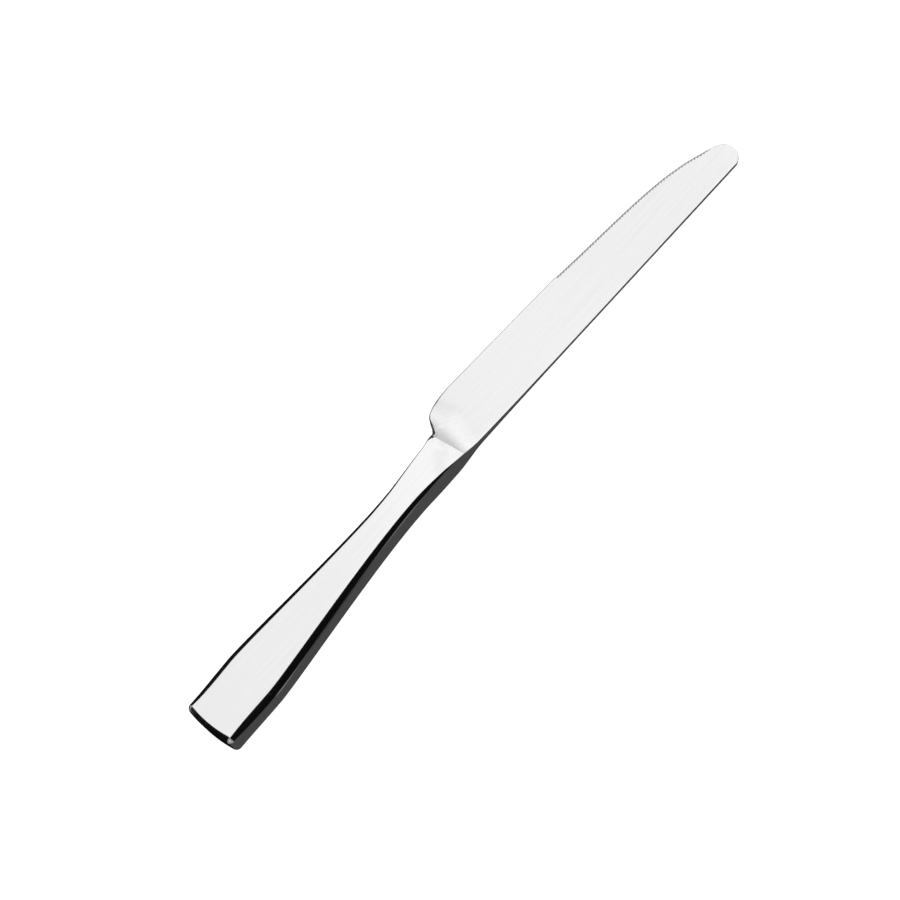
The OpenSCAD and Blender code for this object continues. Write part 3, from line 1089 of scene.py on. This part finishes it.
    def inward(self, rim: Sequence[RimPoint], index: int, front: int) -> Vector:
        """Direction into the handle at one outline point.

        Args:
            rim: The outline.
            index: Number of the point.
            front: Number of points on each side whose direction stays square to the length.

        Returns:
            The direction, longer than 1 where it isn't square to the outline.
        """
        last = len(rim) - 1
        along = rim[min(last, index + 1)].place - rim[max(0, index - 1)].place
        if index < front or index > last - front:
            sign = -1 if index < last / 2 else 1
            return Vector((0.0, sign * math.hypot(1.0, along.y / along.x)))
        return Vector((-along.y, along.x)).normalized()

    def profile(self, rim: Sequence[RimPoint], index: int, front: int, depth: float) -> list[Vector]:
        """Skin of the shell at one outline point, from the seam up the wall and over the shoulder.

        Args:
            rim: The outline.
            index: Number of the point.
            front: Number of points on each side that belong to the neck.
            depth: Distance of the skin below the outer surface.

        Returns:
            Points from the joint, the spine and the middle plane.
        """
        point = rim[index]
        x = point.place.x
        inward = self.inward(rim, index, front)
        top = self.place.half_thick
        back = clamp(-x / self.handle_length)
        soft = clamp((-x - self.edge_soft_start) / (self.edge_soft_end - self.edge_soft_start))
        radius = mix(self.shoulder_edge, self.shoulder_butt, back) + self.edge_softening * soft
        radius += self.bolster.nook_at(x)
        if index > len(rim) // 2:
            top -= self.bolster.drop_at(x)
            past = clamp(-x / self.bolster.drop_length)
            radius = mix(self.shoulder_neck, self.shoulder_butt, back) * mix(self.shoulder_fade, 1.0, past)
            softening = mix(self.neck_softening, self.butt_softening, back)
            radius *= mix(1.0, softening, clamp(-x / self.softening_length))
        radius = mix(radius, self.shoulder_end + self.end_softening, point.end_share)
        if depth > 0:
            radius = max(self.least_round, radius - depth)
        foot, crown = self.seam_gap / 2, top - depth
        pairs = [(depth, mix(foot, crown - radius, i / self.wall_points)) for i in range(self.wall_points)]
        for step in range(self.shoulder_points + 1):
            angle = math.pi / 2 * step / self.shoulder_points
            pairs.append((depth + radius * (1 - math.cos(angle)), crown - radius * (1 - math.sin(angle))))
        return [(point.place + inward * d).to_3d() + Vector((0.0, 0.0, h)) for d, h in pairs]

    def skin(self, depth: float) -> list[Section]:
        """Rows of one skin of the shell, from the joint to the butt.

        Args:
            depth: Distance of the skin below the outer surface.

        Returns:
            One section for each row, from the spine's seam over the face to the edge's seam.
        """
        rim = self.outline()
        front = self.flare_rows + 1 + self.neck_rows
        last = len(rim) - 1
        rows = []
        for index in range(last // 2 + 1):
            spine = self.profile(rim, last - index, front, depth)
            edge = self.profile(rim, index, front, depth)
            share = [i / self.face_points for i in range(1, self.face_points)]
            face = [spine[-1].lerp(edge[-1], s) for s in share]
            row = spine + face + edge[::-1]
            rows.append([self.place.at(p.x, p.y, p.z * self.side.value) for p in row])
        return rows

    def build(self) -> Object:
        """Makes the shell as a wall of two pressed skins, joined round their rims.

        Returns:
            The piece, in place of its packed shell.
        """
        bm = bmesh.new()
        for depth in (0.0, self.wall):
            press_grid(bm, self.skin(depth))
        bmesh.ops.remove_doubles(bm, verts=bm.verts, dist=MERGE_DISTANCE)
        bmesh.ops.dissolve_degenerate(bm, edges=bm.edges, dist=MERGE_DISTANCE)
        bmesh.ops.bridge_loops(bm, edges=[e for e in bm.edges if e.is_boundary])
        bmesh.ops.recalc_face_normals(bm, faces=bm.faces)
        sharpen(bm, self.sharp_turn)
        word = self.side.name.lower()
        piece = make_object(bm, f"pressed_shell_{word}", [HANDLE_STEEL.make()])
        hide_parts(f"handle_{word}_shell")
        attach(piece, "root")
        return piece


@dataclass(frozen=True)
class Fillers:
    """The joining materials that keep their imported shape: braze in the seams and cement round the tang."""

    brazed: tuple[str, ...] = ("seam_braze", "bolster_braze")
    cemented: tuple[str, ...] = ("tang_cement",)

    def dress(self) -> list[Object]:
        """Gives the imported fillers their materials.

        Returns:
            The dressed pieces.
        """
        dressed = []
        for finish, names in ((BRAZE, self.brazed), (CEMENT, self.cemented)):
            material = finish.make()
            for name in names:
                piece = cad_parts[name]
                piece.data.materials.clear()
                piece.data.materials.append(material)
                dressed.append(piece)
        return dressed


def direction(azimuth: float, elevation: float) -> Vector:
    """Unit vector to a place round the knife.

    Args:
        azimuth: Degrees from the side of the spine towards the tip.
        elevation: Degrees above the floor.

    Returns:
        The direction from the knife.
    """
    a, e = math.radians(azimuth), math.radians(elevation)
    return Vector((math.sin(a) * math.cos(e), -math.cos(a) * math.cos(e), math.sin(e)))


@dataclass(frozen=True)
class Softbox:
    """A flat studio light that faces the knife. Sizes in metres."""

    name: str
    azimuth: float
    elevation: float
    width: float
    height: float
    radiance: float
    distance: float = 1.5
    # Shift along its own width
    slide: float = 0.0

    def build(self) -> Object:
        """Makes the light.

        Returns:
            A rectangular area light, seen only in reflections and by what it lights.
        """
        lamp = bpy.data.lights.new(self.name, "AREA")
        lamp.shape = "RECTANGLE"
        lamp.size = self.width
        lamp.size_y = self.height
        lamp.energy = self.radiance * math.pi * self.width * self.height
        light = bpy.data.objects.new(self.name, lamp)
        bpy.context.scene.collection.objects.link(light)
        away = direction(self.azimuth, self.elevation)
        turn = (-away).to_track_quat("-Z", "Y")
        offset = turn @ Vector((self.slide, 0.0, 0.0))
        light.matrix_world = Matrix.Translation(away * self.distance + offset) @ turn.to_matrix().to_4x4()
        light.visible_camera = False
        return light


@dataclass(frozen=True)
class PhotoView:
    """The camera of the photograph, with pixels of its 900 by 900 frame."""

    azimuth: float = -11.5
    elevation: float = 60.0
    roll: float = -37.293
    # Metres from the knife
    distance: float = 1.0
    frame_pixels: float = 900.0
    pixels_per_mm: float = 3.7598
    # Where the point 4 mm above the frame's origin lies in the photograph
    anchor: tuple[float, float, float] = (0.0, 0.0, 0.004)
    anchor_pixel: tuple[float, float] = (467.09, 429.94)
    # Width of the sensor in millimetres
    sensor: float = 36.0

    def build(self) -> Object:
        """Makes the camera and sets it as the scene's own.

        Returns:
            The camera.
        """
        back = direction(self.azimuth, self.elevation)
        level = Vector((math.cos(math.radians(self.azimuth)), math.sin(math.radians(self.azimuth)), 0.0))
        upright = back.cross(level)
        roll = math.radians(self.roll)
        right = level * math.cos(roll) + upright * math.sin(roll)
        up = upright * math.cos(roll) - level * math.sin(roll)
        per_metre = self.pixels_per_mm / MM
        middle = self.frame_pixels / 2
        across = (middle - self.anchor_pixel[0]) / per_metre
        down = (middle - self.anchor_pixel[1]) / per_metre
        target = Vector(self.anchor) + right * across - up * down
        place = target + back * self.distance
        data = bpy.data.cameras.new("photo_camera")
        data.sensor_width = self.sensor
        data.lens = self.sensor * self.distance * per_metre / self.frame_pixels
        camera = bpy.data.objects.new("photo_camera", data)
        bpy.context.scene.collection.objects.link(camera)
        turn = Matrix((right, up, back)).transposed().to_4x4()
        camera.matrix_world = Matrix.Translation(place) @ turn
        bpy.context.scene.camera = camera
        return camera


# Directions along the knife, across it towards the edge, and up
ALONG, ACROSS, UP = (1.0, 0.0, 0.0), (0.0, 1.0, 0.0), (0.0, 0.0, 1.0)
NOWHERE = (0.0, 0.0, 0.0)
# An area of the room lies past all its borders
Area = tuple["SoftEdge", ...]


@dataclass(frozen=True)
class Bend:
    """A stretch of a border, inside an area, that lies lower than the rest by a shift."""

    shift: float
    area: Area


@dataclass(frozen=True)
class SoftEdge:
    """A soft border in the room, where every place is a direction from the knife, as a unit vector."""

    # Part of the direction that counts, and its values where the border begins and where it is passed
    axis: tuple[float, float, float]
    start: float
    end: float
    bends: tuple[Bend, ...] = ()

    def share(self, tree: NodeTree, place: NodeSocket) -> NodeSocket:
        """Adds the border to a tree.

        Args:
            tree: The world's tree.
            place: Socket of the direction.

        Returns:
            Socket that says how far the border is passed there, from 0 to 1.
        """
        value = add_node(tree, "ShaderNodeVectorMath", {"operation": "DOT_PRODUCT"}, {
            0: place, 1: self.axis}).outputs["Value"]
        for bend in self.bends:
            value = add_node(tree, "ShaderNodeMath", {"operation": "MULTIPLY_ADD"}, {
                0: area_share(tree, place, bend.area), 1: bend.shift, 2: value}).outputs["Value"]
        return add_node(tree, "ShaderNodeMapRange", {"interpolation_type": "SMOOTHSTEP"}, {
            "Value": value, "From Min": self.start, "From Max": self.end}).outputs["Result"]


def area_share(tree: NodeTree, place: NodeSocket, area: Area) -> NodeSocket:
    """Adds an area to a tree.

    Args:
        tree: The world's tree.
        place: Socket of the direction.
        area: The area's borders.

    Returns:
        Socket that says how far all the borders are passed there, from 0 to 1.
    """
    total = area[0].share(tree, place)
    for edge in area[1:]:
        total = add_node(tree, "ShaderNodeMath", {"operation": "MULTIPLY"}, {
            0: total, 1: edge.share(tree, place)}).outputs["Value"]
    return total


def outside(*area: SoftEdge) -> SoftEdge:
    """Returns the border of all that lies outside an area."""
    return SoftEdge(NOWHERE, 1.0, 0.0, (Bend(1.0, area),))


@dataclass(frozen=True)
class Card:
    """A floor, wall or flag of the room, with its brightness as radiance."""

    level: float
    area: Area
    # A second area of the same card
    annex: Area = ()
    # Smaller cards that lie on it, each over the ones before
    patches: tuple["Card", ...] = ()

    def lay(self, tree: NodeTree, place: NodeSocket, below: Any) -> NodeSocket:
        """Lays the card over what is there already.

        Args:
            tree: The world's tree.
            place: Socket of the direction.
            below: Brightness without the card, as a value or a socket.

        Returns:
            Socket of the brightness with the card.
        """
        cover = area_share(tree, place, self.area)
        if self.annex:
            cover = add_node(tree, "ShaderNodeMath", {"operation": "MAXIMUM"}, {
                0: cover, 1: area_share(tree, place, self.annex)}).outputs["Value"]
        level: Any = self.level
        for patch in self.patches:
            level = patch.lay(tree, place, level)
        return add_node(tree, "ShaderNodeMix", {}, {
            "Factor": cover, "A": below, "B": level}).outputs["Result"]


@dataclass(frozen=True)
class Room:
    """What the steel mirrors besides the softboxes: a grey room, a white wall and black flags."""

    backdrop: float = 1.0
    grey_level: float = 0.4
    floor: Card = Card(0.45, (SoftEdge(UP, 0.05, -0.1),))
    deep_floor: Card = Card(0.085, (SoftEdge(UP, -0.5, -0.7),))
    # Where the room ends past the tip, which is nearer behind the edge and below the long softbox
    behind_edge: Area = (
        SoftEdge(UP, 0.12, 0.22), SoftEdge(ACROSS, 0.2, 0.4), SoftEdge((0.37, 0.0, 1.0), 0.825, 0.8))
    tip_side: SoftEdge = SoftEdge(ALONG, 0.47, 0.53, (Bend(0.2, behind_edge),))
    # Where the flag over the knife begins on the side of the butt, which is farther out behind the edge
    butt_side: SoftEdge = SoftEdge(ALONG, -0.17, -0.11, (Bend(0.44, (SoftEdge(ACROSS, 0.35, 0.55),)),))
    # White wall past the tip, open at the top on the side of the spine and brightest next to the long softbox
    bright_wall: Card = Card(1.42, (
        SoftEdge((1.0, 0.0, 0.49), 0.98, 0.895), SoftEdge(ACROSS, 0.0, 0.2), SoftEdge(UP, 0.45, 0.58)))
    wall: Card = Card(
        0.86, (tip_side, outside(SoftEdge(UP, 0.4, 0.5), SoftEdge(ACROSS, 0.2, 0.05))),
        patches=(bright_wall,))
    # Lighter parts of the flags: low on the side of the spine, high behind the edge and low behind the edge
    low_part: Card = Card(0.085, (
        SoftEdge(UP, -0.24, -0.42, (
            Bend(0.34, (SoftEdge(ALONG, 0.17, 0.22),)), Bend(-0.17, (SoftEdge(ALONG, 0.27, 0.3),)))),
        SoftEdge(ACROSS, 0.1, -0.2)))
    high_part: Card = Card(0.7, (
        SoftEdge(UP, 0.2, 0.4), SoftEdge(ACROSS, 0.58, 0.66), SoftEdge(ALONG, -0.05, -0.13)))
    under_part: Card = Card(0.12, (SoftEdge(UP, -0.3, -0.45), SoftEdge(ACROSS, 0.5, 0.66)))
    # Narrow sheen low on the side of the spine, which shows along the neck's shoulder
    sheen: Card = Card(0.28, (
        SoftEdge(UP, -0.24, -0.3), SoftEdge(UP, -0.62, -0.52), SoftEdge(ALONG, 0.1, 0.15),
        SoftEdge(ALONG, 0.24, 0.19), SoftEdge(ACROSS, 0.0, -0.3)))
    # Black flags, one over the knife from side to side and one beside the butt
    flags: Card = Card(
        0.004, (butt_side, outside(tip_side)),
        annex=(SoftEdge(ACROSS, 0.13, 0.18), SoftEdge(ACROSS, 0.63, 0.58), SoftEdge(ALONG, -0.05, -0.15)),
        patches=(low_part, high_part, sheen, under_part))

    def build(self) -> World:
        """Makes the surroundings, which the camera sees as plain white.

        Returns:
            The scene's world.
        """
        world = bpy.data.worlds.new("studio_room")
        bpy.context.scene.world = world
        world.use_nodes = True
        tree = world.node_tree
        tree.nodes.clear()
        place = add_node(tree, "ShaderNodeTexCoord", {}, {}).outputs["Generated"]
        level: Any = self.grey_level
        for card in (self.floor, self.deep_floor, self.wall, self.flags):
            level = card.lay(tree, place, level)
        path = add_node(tree, "ShaderNodeLightPath", {}, {})
        strength = add_node(tree, "ShaderNodeMix", {}, {
            "Factor": path.outputs["Is Camera Ray"], "A": level, "B": self.backdrop})
        sky = add_node(tree, "ShaderNodeBackground", {}, {
            "Color": (1.0, 1.0, 1.0, 1.0), "Strength": strength.outputs["Result"]})
        add_node(tree, "ShaderNodeOutputWorld", {}, {"Surface": sky.outputs["Background"]})
        return world


@dataclass(frozen=True)
class Studio:
    """White floor, room and softboxes."""

    room: Room = Room()
    floor_radius: float = 4.0
    floor_drop: float = 0.0001
    floor_colour: str = "#f2f2f2"
    floor_glow: float = 1.05
    floor_roughness: float = 0.9
    floor_sides: int = 96
    # The long one behind the edge lights the faces, and two in front of it the blade's middle and the
    # bolster's slope. A small one past the butt puts a glint on the corner
    softboxes: tuple[Softbox, ...] = (
        Softbox("far_softbox", azimuth=180.0, elevation=70.25, width=1.12, height=1.29, radiance=1.26,
                slide=-0.34),
        Softbox("middle_softbox", azimuth=180.0, elevation=70.25, width=0.22, height=1.25, radiance=0.11,
                distance=1.45, slide=-0.18),
        Softbox("slope_softbox", azimuth=180.0, elevation=70.25, width=0.46, height=1.2, radiance=0.09,
                distance=1.4, slide=-0.63),
        Softbox("corner_softbox", azimuth=-55.0, elevation=24.0, width=0.5, height=0.42, radiance=1.2))

    def build_floor(self) -> Object:
        """Makes the floor, which the steel doesn't mirror.

        Returns:
            A wide disc just under the knife.
        """
        bm = bmesh.new()
        bmesh.ops.create_circle(bm, cap_ends=True, segments=self.floor_sides, radius=self.floor_radius)
        bmesh.ops.translate(bm, verts=bm.verts, vec=(0.0, 0.0, -self.floor_drop))
        # Matt white card: an even, bright ground with no gloss
        material, _, shader = new_material("matt_white_card")
        shader.inputs["Base Color"].default_value = linear_colour(self.floor_colour)
        shader.inputs["Roughness"].default_value = self.floor_roughness
        shader.inputs["Emission Color"].default_value = linear_colour(self.floor_colour)
        shader.inputs["Emission Strength"].default_value = self.floor_glow
        floor = make_object(bm, "studio_floor", [material])
        floor.visible_glossy = False
        return floor

    def build(self) -> None:
        """Makes the floor, the room and every softbox, and shows colours as they are."""
        self.build_floor()
        self.room.build()
        for softbox in self.softboxes:
            softbox.build()
        bpy.context.scene.view_settings.view_transform = "Standard"


def write_sizes() -> None:
    bpy.context.view_layer.update()


def main() -> None:
    """Builds the camera, the knife and the studio."""
    logging.basicConfig(level=logging.INFO, format="%(name)s: %(message)s")
    PhotoView().build()
    place = KnifePlace.from_frame()
    bolster, axis = Bolster(), HandleAxis()
    makers: list[Callable[[], Object]] = [Blade(place, bolster, axis).build]
    makers += [HandleShell(place, bolster, axis, side).build for side in Side]
    for make in makers:
        piece = make()
        LOG.info("%s: %d faces", piece.name, len(piece.data.polygons))
    for piece in Fillers().dress():
        LOG.info("%s: packed shape, dressed", piece.name)
    Studio().build()
    write_sizes()


if __name__ == "__main__":
    main()
